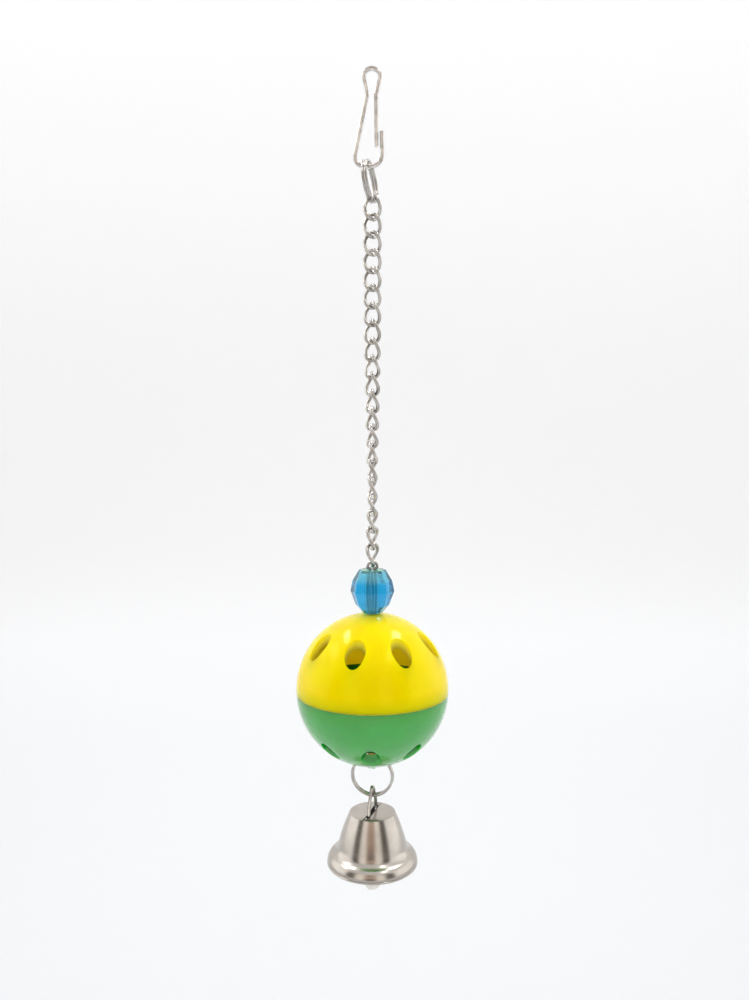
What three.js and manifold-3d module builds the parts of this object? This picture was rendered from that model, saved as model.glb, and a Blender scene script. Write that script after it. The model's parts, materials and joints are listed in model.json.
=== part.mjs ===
// Hanging bell ball bird toy.
//
// A snap hook carries a split ring, a curb chain of twisted links, and a wire pin bent double.
// The pin goes down through a faceted bead and the top of a hollow ball made of two half shells.
// A second split ring is threaded through the foot of the ball, and a small bell hangs on it.
//
// Millimetres, +Z up. X runs to the right across the face of the hook, and Y runs away from the
// viewer. The origin is the top of the hole in the hook's upper loop, where the hook hangs.

import * as THREE from 'three';
import { mergeVertices } from 'three/addons/utils/BufferGeometryUtils.js';
import Module from 'manifold-3d';

const wasm = await Module();
wasm.setup();

// Sizes that several pieces share
const clearance = 0.3;

// Snap hook, one bent strip. The corners are places on its middle line, each with its bend radius.
const hookThickness = 1.3;
const hookWidth = 1.9;
const hookEdge = 0.3;
const hookLoopHalfWidth = 3.25;
const hookLoopRadius = 2.55;
const hookNeckLeft = { x: -1.6, z: -7.2, radius: 4 };
const hookNeckRight = { x: 1.15, z: -7.2, radius: 1 };
const hookFootLeft = { x: -5.95, z: -28.75, radius: 2.6 };
const hookFootRight = { x: 3.3, z: -29.87, radius: 3.9 };
const hookNoseTop = { x: 2.95, z: -18.6 };
const gateTop = { x: 1.2, z: -8.55 };
const gateGap = 0.34;
const gateFoot = { x: 1.3, z: -23.2 };
const gateTipLength = 0.5;

// Upper split ring, two turns of round wire
const upperRingDiameter = 13.6;
const ringWire = 0.95;
const ringTurnGap = 0.1;
const ringCrossing = 12;
const ringEndGap = 8;
const upperRingSplit = -45;
const ringSeatX = -1.55;
const ringSeatGap = 0.55;
const upperRingLean = 7.5;
const upperRingYaw = 75;

// Curb chain
const linkCount = 21;
const linkWire = 1.2;
const linkPitch = 5.53;
const linkWidth = 6.1;
const linkTwist = 45;
const linkSquareness = 0.75;
const firstLinkGap = 0.45;
const chainStraightLinks = 3;
const chainYawStep = -6.5;

// Wire pin, bent double
const pinWire = 0.95;
const pinEyeWidth = 4.2;
const pinEyeRise = 3.1;
const pinLegGap = 0.25;
const pinFootReach = 4.2;
const pinFootBend = 1;
const pinThroat = 0.35;
const pinThroatBend = 0.8;
const pinEyeDrop = 0.35;
const pinEyeBend = 0.6;
const pinYaw = 10;

// Faceted bead
const beadFacets = 8;
const beadHeight = 14.15;
const beadWidth = 14.2;
const beadBore = 3.4;
const beadYaw = -4.5;
const beadTopFlat = 8.6;
const beadUpperGirdle = 12.9;
const beadUpperGirdleDrop = 3.65;
const beadWaistDrop = 7.1;
const beadLowerGirdle = 10.9;
const beadLowerGirdleDrop = 11.6;
const beadFootFlat = 6.4;

// Ball of two half shells
const ballDiameter = 50;
const ballWall = 2.35;
const ballBore = 3;
const seamDrop = 0.7;
const lipGap = 0.4;
const lipHeight = 3;
const lipWall = 0.8;
const lipRoot = 1;
const ballHoleCount = 8;
const upperHoleDiameter = 6.68;
const upperHoleCircle = 37.24;
const upperHolesYaw = -16.3;
const lowerHoleDiameter = 5.95;
const lowerHoleCircle = 36.2;
const lowerHolesYaw = -1.5;

// Moulded bar under the ball, and the slot on each side of it, for the lower ring
const barWidth = 2.2;
const barSaddle = 0.9;
const barReach = 1.9;
const barHalfLength = 4.4;
const ringSlotHalfLength = 7;
const ringSlotHalfWidth = 1.6;
const lowerRingYaw = -10.5;

// Lower split ring
const lowerRingDiameter = 14.4;
const lowerRingSplit = 60;

// Bell hanger, a strip bent into a closed loop. Heights are from the wire that it hangs on.
const hangerThickness = 0.7;
const hangerWidth = 1.1;
const hangerYaw = 71.9;
const hangerTop = { x: 0, z: 3.68, radius: 0.9 };
const hangerShoulder = { x: 3.3, z: -2.2, radius: 1.2 };
const hangerNeck = { x: 4.1, z: -6.6, radius: 0.6 };
const hangerFoot = { x: 6.3, z: -7.5, radius: 0.45 };
const hangerBase = { x: 5.2, z: -9.9, radius: 1 };

// Bell. Its wall runs from the flat crown down a slightly bulging cone, round the waist, out in a
// rounder flare to the mouth, and turns in a little at the lip. Depths are under the top face.
const bellDrop = 5.72;
const bellWall = 0.8;
const bellCrownRadius = 7.3;
const bellShoulder = { radius: 7.75, depth: 0.4 };
const bellWaist = { radius: 11.85, depth: 12.7 };
const bellMouth = { radius: 15.1, depth: 16.9 };
const bellWaistRounding = 1.8;
const bellLipInset = 0.35;
const bellLipDrop = 0.5;
const bellConeBulge = 0.35;
const bellFlareBulge = 1;
const bellRoofInset = 0.4;
const bellSlotLength = 11.5;
const bellSlotWidth = 1.8;

// Clapper
const clapperWire = 0.9;
const clapperEyeRadius = 1.5;
const clapperBall = 5.7;
const clapperLength = 19.8;
const clapperSocketDepth = 3;
const clapperSocketGap = 0.34;
const clapperEyeStart = -60;
const clapperEyeTurn = 306;
const clapperEyeNeck = 0.7;

// Smoothness
const wireSides = 6;
const heavyWireSides = 8;
const linkSteps = 24;
const ringSteps = 44;
const bendStep = 18;
const ballSegments = 40;
const ballRings = 9;
const holeSides = 16;
const bellSegments = 36;
const bellConeSteps = 3;
const bellWaistSteps = 3;
const bellFlareSteps = 4;
const clapperEyeSteps = 13;
const clapperBallRings = 8;
const slotEndSteps = 4;
const barSteps = 10;
const cutReach = 2;
const samePoint = 1e-4;
const shortestStep = 0.01;

const radians = THREE.MathUtils.degToRad;

// Finishes
const nickelWire = new THREE.MeshStandardMaterial({ color: 0xb9b3ab, metalness: 1, roughness: 0.28 });
const nickelBell = new THREE.MeshStandardMaterial({ color: 0xc2bab2, metalness: 1, roughness: 0.3 });
const clapperSteel = new THREE.MeshStandardMaterial({ color: 0xe3ded6, metalness: 0.8, roughness: 0.35 });
const yellowPlastic = new THREE.MeshStandardMaterial({ color: 0xf7dc0c, roughness: 0.25 });
const greenPlastic = new THREE.MeshStandardMaterial({ color: 0x2f9e4a, roughness: 0.25 });
const blueAcrylic = new THREE.MeshStandardMaterial({ color: 0x1f9fdc, roughness: 0.08 });

// A closed mesh from rings of points. The rings either close on themselves or get a flat cap
// at each end.
function skin(rings, closed) {
  const sides = rings[0].length;
  const vertices = rings.flat();
  const triangles = [];
  const last = closed ? rings.length : rings.length - 1;
  for (let ring = 0; ring < last; ring++) {
    const next = (ring + 1) % rings.length;
    for (let side = 0; side < sides; side++) {
      const across = (side + 1) % sides;
      const a = ring * sides + side;
      const b = ring * sides + across;
      const c = next * sides + side;
      const d = next * sides + across;
      triangles.push(a, c, b, b, c, d);
    }
  }
  if (!closed) {
    const end = (rings.length - 1) * sides;
    for (let side = 1; side < sides - 1; side++) {
      triangles.push(0, side, side + 1);
      triangles.push(end, end + side + 1, end + side);
    }
  }
  const geometry = new THREE.BufferGeometry();
  const numbers = vertices.flatMap((point) => [point.x, point.y, point.z]);
  geometry.setAttribute('position', new THREE.Float32BufferAttribute(numbers, 3));
  geometry.setIndex(triangles);
  return outwards(geometry);
}

// Six times the volume inside a mesh, negative where its faces point inwards
function signedVolume(geometry) {
  const place = geometry.attributes.position;
  const index = geometry.index.array;
  const corners = [new THREE.Vector3(), new THREE.Vector3(), new THREE.Vector3()];
  let sum = 0;
  for (let i = 0; i < index.length; i += 3) {
    corners.forEach((corner, j) => corner.fromBufferAttribute(place, index[i + j]));
    sum += corners[0].dot(corners[1].clone().cross(corners[2]));
  }
  return sum;
}

function outwards(geometry) {
  if (signedVolume(geometry) < 0) {
    const index = geometry.index.array;
    for (let i = 0; i < index.length; i += 3) {
      const kept = index[i];
      index[i] = index[i + 1];
      index[i + 1] = kept;
    }
  }
  geometry.computeVertexNormals();
  return geometry;
}

// Sweep a section along points. Each section point is [across, along the reference direction].
function sweep(points, reference, section, closed) {
  const count = points.length;
  const rings = points.map((point, i) => {
    const before = points[closed ? (i + count - 1) % count : Math.max(i - 1, 0)];
    const after = points[closed ? (i + 1) % count : Math.min(i + 1, count - 1)];
    const tangent = after.clone().sub(before).normalize();
    const guide = Array.isArray(reference) ? reference[i] : reference;
    const across = tangent.clone().cross(guide).normalize();
    const along = across.clone().cross(tangent).normalize();
    return section.map(([u, v]) => point.clone().addScaledVector(across, u).addScaledVector(along, v));
  });
  return skin(rings, closed);
}

function roundSection(diameter, sides) {
  const section = [];
  for (let side = 0; side < sides; side++) {
    const angle = 2 * Math.PI * (side + 0.5) / sides;
    section.push([diameter / 2 * Math.cos(angle), diameter / 2 * Math.sin(angle)]);
  }
  return section;
}

function stripSection(thickness, width, edge) {
  const u = thickness / 2;
  const v = width / 2;
  if (edge === 0) {
    return [[u, -v], [u, v], [-u, v], [-u, -v]];
  }
  return [
    [u, -v + edge], [u, v - edge], [u - edge, v], [-u + edge, v],
    [-u, v - edge], [-u, -v + edge], [-u + edge, -v], [u - edge, -v],
  ];
}

// Points of a bent wire in the XZ plane: straight between corners, an arc at each corner
function bentWire(corners, closed) {
  const points = [];
  const count = corners.length;
  corners.forEach((corner, i) => {
    const here = new THREE.Vector2(corner.x, corner.z);
    const isEnd = !closed && (i === 0 || i === count - 1);
    if (isEnd || !corner.radius) {
      points.push(new THREE.Vector3(here.x, 0, here.y));
      return;
    }
    const previous = corners[(i + count - 1) % count];
    const following = corners[(i + 1) % count];
    const back = new THREE.Vector2(previous.x, previous.z).sub(here).normalize();
    const forth = new THREE.Vector2(following.x, following.z).sub(here).normalize();
    const opening = Math.acos(THREE.MathUtils.clamp(back.dot(forth), -1, 1));
    const turn = Math.PI - opening;
    const reach = corner.radius / Math.tan(opening / 2);
    const middle = back.clone().add(forth).normalize();
    const centre = here.clone().addScaledVector(middle, corner.radius / Math.sin(opening / 2));
    const start = here.clone().addScaledVector(back, reach).sub(centre);
    const end = here.clone().addScaledVector(forth, reach).sub(centre);
    const side = Math.sign(start.cross(end));
    const steps = Math.max(2, Math.ceil(THREE.MathUtils.radToDeg(turn) / bendStep));
    for (let step = 0; step <= steps; step++) {
      const spoke = start.clone().rotateAround(new THREE.Vector2(), side * turn * step / steps);
      points.push(new THREE.Vector3(centre.x + spoke.x, 0, centre.y + spoke.y));
    }
  });
  return points.filter((point, i) => i === 0 || point.distanceTo(points[i - 1]) > shortestStep);
}

// A solid that can be joined or cut, from any closed geometry, and back again
function solid(geometry) {
  const bare = geometry.clone();
  bare.deleteAttribute('normal');
  bare.deleteAttribute('uv');
  const merged = mergeVertices(bare, samePoint);
  const vertProperties = new Float32Array(merged.attributes.position.array);
  const corners = merged.index.array;
  const triVerts = [];
  for (let i = 0; i < corners.length; i += 3) {
    const [a, b, c] = [corners[i], corners[i + 1], corners[i + 2]];
    if (a !== b && b !== c && c !== a) {
      triVerts.push(a, b, c);
    }
  }
  const mesh = new wasm.Mesh({ numProp: 3, vertProperties, triVerts: new Uint32Array(triVerts) });
  return new wasm.Manifold(mesh);
}

function shape(manifold) {
  const mesh = manifold.getMesh();
  const geometry = new THREE.BufferGeometry();
  geometry.setAttribute('position', new THREE.Float32BufferAttribute(mesh.vertProperties, 3));
  geometry.setIndex(Array.from(mesh.triVerts));
  geometry.computeVertexNormals();
  return geometry;
}

// Lathe about Z. A profile point is [radius, height].
function turned(profile, segments) {
  const points = profile.map(([radius, height]) => new THREE.Vector2(radius, height));
  const geometry = new THREE.LatheGeometry(points, segments);
  geometry.rotateX(Math.PI / 2);
  geometry.deleteAttribute('normal');
  geometry.deleteAttribute('uv');
  return outwards(mergeVertices(geometry, samePoint));
}

function piece(name, geometry, material) {
  const mesh = new THREE.Mesh(geometry, material);
  mesh.name = name;
  return mesh;
}

const vertical = new THREE.Vector3(0, 0, 1);
const depthwise = new THREE.Vector3(0, 1, 0);

// The hook's middle line runs from the nose, round the foot, up the left leg, round the loop and
// down to the neck, where the gate takes over.
const loopTopZ = hookThickness / 2;
const hookCorners = [
  hookNoseTop,
  hookFootRight,
  hookFootLeft,
  hookNeckLeft,
  { x: -hookLoopHalfWidth, z: loopTopZ, radius: hookLoopRadius },
  { x: hookLoopHalfWidth, z: loopTopZ, radius: hookLoopRadius },
  hookNeckRight,
  gateTop,
];

function makeHook() {
  const section = stripSection(hookThickness, hookWidth, hookEdge);
  return sweep(bentWire(hookCorners, false), depthwise, section, false);
}

// The gate is a straight run of the same strip, with a tip that narrows to slip behind the nose
function makeGate() {
  const top = new THREE.Vector3(gateTop.x, 0, gateTop.z - gateGap);
  const foot = new THREE.Vector3(gateFoot.x, 0, gateFoot.z);
  const length = top.distanceTo(foot);
  const tipStart = top.clone().lerp(foot, 1 - gateTipLength / length);
  const middle = top.clone().lerp(foot, 0.5);
  const full = stripSection(hookThickness, hookWidth, hookEdge);
  const tip = stripSection(hookThickness - 2 * hookEdge, hookWidth - 2 * hookEdge, hookEdge / 2);
  const across = foot.clone().sub(top).normalize().cross(depthwise).normalize();
  const ring = (centre, section) => section.map(([u, v]) => (
    centre.clone().addScaledVector(across, u).addScaledVector(depthwise, v)
  ));
  return skin([ring(top, full), ring(middle, full), ring(tipStart, full), ring(foot, tip)], false);
}

// Height of the hook's middle line at a place along its foot
function hookFootHeight(x) {
  const points = bentWire(hookCorners, false);
  const heights = [];
  for (let i = 0; i < points.length - 1; i++) {
    const [a, b] = [points[i], points[i + 1]];
    if ((a.x - x) * (b.x - x) <= 0 && a.x !== b.x) {
      heights.push(a.z + (b.z - a.z) * (x - a.x) / (b.x - a.x));
    }
  }
  return Math.min(...heights);
}

// Two flat turns of wire that change sides where the ring is split. The ring lies in the XZ
// plane about its own centre.
function makeSplitRing(diameter, splitAngle) {
  const radius = (diameter - ringWire) / 2;
  const offset = (ringWire + ringTurnGap) / 2;
  const first = ringCrossing + ringEndGap;
  const total = 720 - 2 * first;
  const points = [];
  for (let step = 0; step <= ringSteps * 2; step++) {
    const turn = first + total * step / (ringSteps * 2);
    const change = THREE.MathUtils.smoothstep(turn, 360 - ringCrossing, 360 + ringCrossing);
    const side = -offset + 2 * offset * change;
    const angle = radians(turn + splitAngle);
    points.push(new THREE.Vector3(radius * Math.cos(angle), side, radius * Math.sin(angle)));
  }
  return sweep(points, depthwise, roundSection(ringWire, wireSides), false);
}

// One oval of wire, twisted about its length so that its two ends stand square to each other
const linkLength = linkPitch + linkWire + clearance;
function makeLink() {
  const points = [];
  const guides = [];
  for (let step = 0; step < linkSteps; step++) {
    const turn = 2 * Math.PI * step / linkSteps;
    const reach = Math.sign(Math.cos(turn)) * Math.abs(Math.cos(turn)) ** linkSquareness;
    const along = (linkWidth - linkWire) / 2 * reach;
    const height = linkLength / 2 * Math.sin(turn);
    const yaw = -radians(linkTwist) * Math.sin(turn);
    points.push(new THREE.Vector3(along * Math.cos(yaw), along * Math.sin(yaw), height));
    guides.push(new THREE.Vector3(-Math.sin(yaw), Math.cos(yaw), 0));
  }
  return sweep(points, guides, roundSection(linkWire, wireSides), true);
}

// The pin starts at one foot inside the ball, climbs, turns over as the eye and comes down again.
// Heights here are from the middle of the wire at the top of the eye.
const pinLegOffset = (pinWire + pinLegGap) / 2;
const pinShoulderZ = pinWire / 2 - pinEyeRise;
const pinFootZ = pinShoulderZ - beadHeight - clearance - ballWall - clearance - pinWire;
function makePin() {
  const eyeHalf = (pinEyeWidth - pinWire) / 2;
  const leftHalf = [
    { x: -pinFootReach, z: pinFootZ },
    { x: -pinLegOffset, z: pinFootZ, radius: pinFootBend },
    { x: -pinLegOffset, z: pinShoulderZ + pinThroat, radius: pinThroatBend },
    { x: -eyeHalf, z: -eyeHalf - pinEyeDrop, radius: pinEyeBend },
    { x: -eyeHalf, z: 0, radius: eyeHalf },
  ];
  const rightHalf = leftHalf.map((corner) => ({ ...corner, x: -corner.x })).reverse();
  const path = bentWire([...leftHalf, ...rightHalf], false);
  return sweep(path, depthwise, roundSection(pinWire, wireSides), false);
}

// Bead with a flat top, two rows of facets above its waist, two below, and a round bore.
// Heights are from its top face.
function makeBead() {
  const profile = [
    [0, 0],
    [beadTopFlat / 2, 0],
    [beadUpperGirdle / 2, -beadUpperGirdleDrop],
    [beadWidth / 2, -beadWaistDrop],
    [beadLowerGirdle / 2, -beadLowerGirdleDrop],
    [beadFootFlat / 2, -beadHeight],
    [0, -beadHeight],
  ];
  const spread = 1 / Math.cos(Math.PI / beadFacets / 2);
  const body = turned(profile.map(([radius, height]) => [radius * spread, height]), beadFacets);
  const bore = new THREE.CylinderGeometry(beadBore / 2, beadBore / 2, beadHeight + 2 * cutReach, holeSides);
  bore.rotateX(Math.PI / 2);
  bore.translate(0, 0, -beadHeight / 2);
  return shape(solid(body).subtract(solid(bore)));
}

// Half shells of the ball about the ball's centre
const ballRadius = ballDiameter / 2;
const ballInside = ballRadius - ballWall;
function arc(radius, fromZ, toRadius, sign) {
  const start = Math.asin(fromZ / radius);
  const end = sign * Math.acos(toRadius / radius);
  const points = [];
  for (let ring = 0; ring <= ballRings; ring++) {
    const angle = start + (end - start) * ring / ballRings;
    points.push([radius * Math.cos(angle), radius * Math.sin(angle)]);
  }
  return points;
}

// The holes are drawn straight along the axis, as the two halves of the mould part
function holeCutters(diameter, circle, yaw, sign) {
  const cutters = [];
  for (let hole = 0; hole < ballHoleCount; hole++) {
    const angle = radians(yaw + 360 * hole / ballHoleCount);
    const cutter = new THREE.CylinderGeometry(diameter / 2, diameter / 2, ballRadius, holeSides);
    cutter.rotateX(Math.PI / 2);
    const reach = circle / 2;
    const height = ballRadius / 2 + lipHeight + cutReach;
    cutter.translate(reach * Math.sin(angle), -reach * Math.cos(angle), sign * height);
    cutters.push(solid(cutter));
  }
  return cutters;
}

function makeUpperShell() {
  const outer = arc(ballRadius, -seamDrop, ballBore / 2, 1);
  const inner = arc(ballInside, -seamDrop, ballBore / 2, 1).reverse();
  let shell = solid(turned([...outer, ...inner, outer[0]], ballSegments));
  for (const cutter of holeCutters(upperHoleDiameter, upperHoleCircle, upperHolesYaw, 1)) {
    shell = shell.subtract(cutter);
  }
  return shape(shell);
}

const seamZ = -seamDrop - clearance;
const barTopZ = -ballInside - barSaddle;
function makeLowerShell() {
  const lipOutside = ballInside - lipGap;
  const lipInside = lipOutside - lipWall;
  const outer = arc(ballRadius, seamZ, 0, -1).reverse();
  const inner = arc(ballInside, seamZ - lipRoot, 0, -1);
  const lip = [
    [lipOutside, seamZ],
    [lipOutside, lipHeight - seamDrop],
    [lipInside, lipHeight - seamDrop],
    [lipInside, seamZ - lipRoot],
  ];
  let shell = solid(turned([...outer, ...lip, ...inner], ballSegments));
  for (const cutter of holeCutters(lowerHoleDiameter, lowerHoleCircle, lowerHolesYaw, -1)) {
    shell = shell.subtract(cutter);
  }
  return shape(shell.subtract(ringSlot()).add(ringBar()));
}

// The slot that lets the lower ring through the wall, long in the plane of the ring
function ringSlot() {
  const straight = ringSlotHalfLength - ringSlotHalfWidth;
  const outline = new THREE.Shape();
  outline.moveTo(-straight, -ringSlotHalfWidth);
  outline.lineTo(straight, -ringSlotHalfWidth);
  outline.absarc(straight, 0, ringSlotHalfWidth, -Math.PI / 2, Math.PI / 2, false);
  outline.lineTo(-straight, ringSlotHalfWidth);
  outline.absarc(-straight, 0, ringSlotHalfWidth, Math.PI / 2, 3 * Math.PI / 2, false);
  const height = 4 * ballWall;
  const setting = { depth: height, bevelEnabled: false, curveSegments: slotEndSteps };
  const slot = new THREE.ExtrudeGeometry(outline, setting);
  slot.translate(0, 0, -ballRadius - height / 2);
  slot.rotateZ(radians(lowerRingYaw));
  return solid(slot);
}

// The bar across the slot, round underneath and flat where the ring sits
function ringBar() {
  const sag = ballRadius + barReach + barTopZ;
  const radius = (barHalfLength ** 2 + sag ** 2) / (2 * sag);
  const half = Math.asin(barHalfLength / radius);
  const outline = new THREE.Shape();
  outline.absarc(0, barTopZ - sag + radius, radius, -Math.PI / 2 - half, -Math.PI / 2 + half, false);
  const setting = { depth: barWidth, bevelEnabled: false, curveSegments: barSteps };
  const bar = new THREE.ExtrudeGeometry(outline, setting);
  bar.translate(0, 0, -barWidth / 2);
  bar.applyMatrix4(new THREE.Matrix4().makeBasis(depthwise, vertical, new THREE.Vector3(1, 0, 0)));
  bar.rotateZ(radians(lowerRingYaw));
  return solid(bar);
}

function makeHanger() {
  const right = [hangerShoulder, hangerNeck, hangerFoot, hangerBase];
  const left = right.map((corner) => ({ ...corner, x: -corner.x })).reverse();
  const corners = [hangerTop, ...right, ...left];
  return sweep(bentWire(corners, true), depthwise, stripSection(hangerThickness, hangerWidth, 0), true);
}

// Points of part of a slightly bent line from one place on the bell's outline to another. The
// bulge is how far its middle stands out from the straight line.
function bulged(from, to, bulge, firstShare, lastShare, steps) {
  const start = new THREE.Vector2(from.radius, -from.depth);
  const run = new THREE.Vector2(to.radius, -to.depth).sub(start);
  const outwardly = new THREE.Vector2(-run.y, run.x).normalize();
  const points = [];
  for (let step = 0; step <= steps; step++) {
    const share = firstShare + (lastShare - firstShare) * step / steps;
    const stand = 4 * bulge * share * (1 - share);
    points.push(start.clone().addScaledVector(run, share).addScaledVector(outwardly, stand));
  }
  return points;
}

// Cone, rounded waist and flare. The rounding starts the same way above the waist as it ends below.
function bellFlank() {
  const coneRun = Math.hypot(bellWaist.radius - bellShoulder.radius, bellWaist.depth - bellShoulder.depth);
  const flareRun = Math.hypot(bellMouth.radius - bellWaist.radius, bellMouth.depth - bellWaist.depth);
  const coneEnd = 1 - bellWaistRounding / coneRun;
  const flareStart = bellWaistRounding / flareRun;
  const cone = bulged(bellShoulder, bellWaist, bellConeBulge, 0, coneEnd, bellConeSteps);
  const flare = bulged(bellWaist, bellMouth, bellFlareBulge, flareStart, 1, bellFlareSteps);
  const corner = new THREE.Vector2(bellWaist.radius, -bellWaist.depth);
  const round = new THREE.QuadraticBezierCurve(cone[cone.length - 1], corner, flare[0]);
  return [...cone, ...round.getPoints(bellWaistSteps).slice(1, -1), ...flare];
}

// The bell's wall follows its outline at an even thickness. Heights are from its top face.
function makeBell() {
  const outer = [
    new THREE.Vector2(bellCrownRadius, 0),
    ...bellFlank(),
    new THREE.Vector2(bellMouth.radius - bellLipInset, -bellMouth.depth - bellLipDrop),
  ];
  const inner = [];
  for (let i = 1; i < outer.length - 1; i++) {
    const along = outer[i + 1].clone().sub(outer[i - 1]).normalize();
    inner.push(new THREE.Vector2(outer[i].x + along.y * bellWall, outer[i].y - along.x * bellWall));
  }
  const cornerZ = -bellWall - bellRoofInset;
  const inside = inner.filter((point) => point.y < cornerZ);
  const over = inner[inner.length - inside.length - 1];
  const corner = over.clone().lerp(inside[0], (over.y - cornerZ) / (over.y - inside[0].y));
  const profile = [
    [0, 0],
    ...outer.map((point) => [point.x, point.y]),
    ...inside.reverse().map((point) => [point.x, point.y]),
    [corner.x, cornerZ],
    [corner.x - bellRoofInset, -bellWall],
    [0, -bellWall],
  ];
  const slot = new THREE.BoxGeometry(bellSlotLength, bellSlotWidth, 4 * bellWall);
  slot.rotateZ(radians(hangerYaw));
  return shape(solid(turned(profile, bellSegments)).subtract(solid(slot)));
}

// The clapper's rod starts as a closed eye round the hanger's base. Heights are from that base.
function makeClapperRod() {
  const points = [];
  for (let step = 0; step < clapperEyeSteps; step++) {
    const angle = radians(clapperEyeStart + clapperEyeTurn * step / (clapperEyeSteps - 1));
    points.push(new THREE.Vector3(clapperEyeRadius * Math.cos(angle), 0, clapperEyeRadius * Math.sin(angle)));
  }
  const neck = -clapperEyeRadius - clapperWire - clapperEyeNeck;
  const rodEnd = -clapperLength + clapperBall / 2 - clapperSocketDepth + clearance;
  points.push(new THREE.Vector3(0, 0, neck));
  points.push(new THREE.Vector3(0, 0, (neck + rodEnd) / 2));
  points.push(new THREE.Vector3(0, 0, rodEnd));
  return sweep(points, depthwise, roundSection(clapperWire, wireSides), false);
}

function makeClapperBall() {
  const radius = clapperBall / 2;
  const socket = clapperWire / 2 + clapperSocketGap;
  const mouth = Math.acos(socket / radius);
  const profile = [[0, -radius]];
  for (let ring = 1; ring <= clapperBallRings; ring++) {
    const angle = -Math.PI / 2 + (Math.PI / 2 + mouth) * ring / clapperBallRings;
    profile.push([radius * Math.cos(angle), radius * Math.sin(angle)]);
  }
  profile.push([socket, radius - clapperSocketDepth]);
  profile.push([0, radius - clapperSocketDepth]);
  return turned(profile, holeSides);
}

// Put the pieces together, from the hook down
const toy = new THREE.Group();

const hook = piece('snap_hook', makeHook(), nickelWire);
toy.add(hook);

const gate = piece('hook_gate', makeGate(), nickelWire);
toy.add(gate);

const upperRingInside = upperRingDiameter / 2 - ringWire;
const upperRingTopZ = hookFootHeight(ringSeatX) + hookThickness / 2 + ringSeatGap;
const upperRing = new THREE.Group();
const lean = radians(upperRingLean);
const upperRingCentreX = ringSeatX + upperRingInside * Math.sin(lean);
const upperRingCentreZ = upperRingTopZ - upperRingInside * Math.cos(lean);
upperRing.position.set(upperRingCentreX, 0, upperRingCentreZ);
upperRing.rotation.y = -lean;
const upperRingMesh = piece('upper_split_ring', makeSplitRing(upperRingDiameter, upperRingSplit), nickelWire);
upperRingMesh.rotation.z = radians(upperRingYaw);
upperRing.add(upperRingMesh);
toy.add(upperRing);

const chain = new THREE.Group();
const ringFootZ = upperRingCentreZ - (upperRingDiameter - ringWire) / 2 * Math.cos(lean);
const firstLinkTopZ = ringFootZ + ringWire / 2 + firstLinkGap + linkWire / 2;
chain.position.z = firstLinkTopZ - linkLength / 2;
for (let number = 1; number <= linkCount; number++) {
  const label = String(number).padStart(2, '0');
  const link = piece(`chain_link_${label}`, makeLink(), nickelWire);
  link.position.z = -linkPitch * (number - 1);
  link.rotation.z = radians(chainYawStep * Math.max(0, number - chainStraightLinks));
  chain.add(link);
}
toy.add(chain);

const chainFootZ = chain.position.z - linkPitch * (linkCount - 1) - linkLength / 2;
const eyeTopZ = chainFootZ + linkWire / 2 + clearance + pinWire / 2;
const pin = piece('wire_pin', makePin(), nickelWire);
pin.position.z = eyeTopZ;
pin.rotation.z = radians(pinYaw);
toy.add(pin);

const beadTopZ = eyeTopZ + pinWire / 2 - pinEyeRise;
const bead = piece('faceted_bead', makeBead(), blueAcrylic);
bead.position.z = beadTopZ;
bead.rotation.z = radians(beadYaw);
toy.add(bead);

const ball = new THREE.Group();
ball.position.z = beadTopZ - beadHeight - clearance - ballRadius;
ball.add(piece('ball_upper_shell', makeUpperShell(), yellowPlastic));
ball.add(piece('ball_lower_shell', makeLowerShell(), greenPlastic));

const lowerRingInside = lowerRingDiameter / 2 - ringWire;
const lowerRingCentreZ = barTopZ + clearance - Math.sqrt(lowerRingInside ** 2 - (barWidth / 2) ** 2);
const lowerRing = piece('lower_split_ring', makeSplitRing(lowerRingDiameter, lowerRingSplit), nickelWire);
lowerRing.position.z = lowerRingCentreZ;
lowerRing.rotation.z = radians(lowerRingYaw);
ball.add(lowerRing);

const bell = new THREE.Group();
bell.position.z = lowerRingCentreZ - (lowerRingDiameter - ringWire) / 2;
const hanger = piece('bell_hanger', makeHanger(), nickelWire);
hanger.rotation.z = radians(hangerYaw);
bell.add(hanger);
const bellShell = piece('bell_shell', makeBell(), nickelBell);
bellShell.position.z = -bellDrop;
bell.add(bellShell);

const clapper = new THREE.Group();
clapper.position.z = hangerBase.z;
clapper.rotation.z = radians(hangerYaw + 90);
clapper.add(piece('clapper_rod', makeClapperRod(), nickelWire));
const clapperBallMesh = piece('clapper_ball', makeClapperBall(), clapperSteel);
clapperBallMesh.position.z = -clapperLength;
clapper.add(clapperBallMesh);
bell.add(clapper);
ball.add(bell);
toy.add(ball);

export default toy;
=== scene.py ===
# %% [markdown]
# # A hanging bell ball toy for a bird cage
# The real toy is about 27 cm long. It hangs by a bent wire snap hook, and below it come a split
# ring, a twisted chain, a faceted acrylic bead, a hollow plastic ball, a second split ring and a
# small nickel bell. The CAD model already has every piece at its right size and place, so this
# lesson dresses that model: each step makes one finer piece that takes the place of a CAD node.

# %% Load the CAD model as a fixed frame
import json
import math

import bmesh
import bpy
from mathutils import Matrix, Vector


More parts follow.
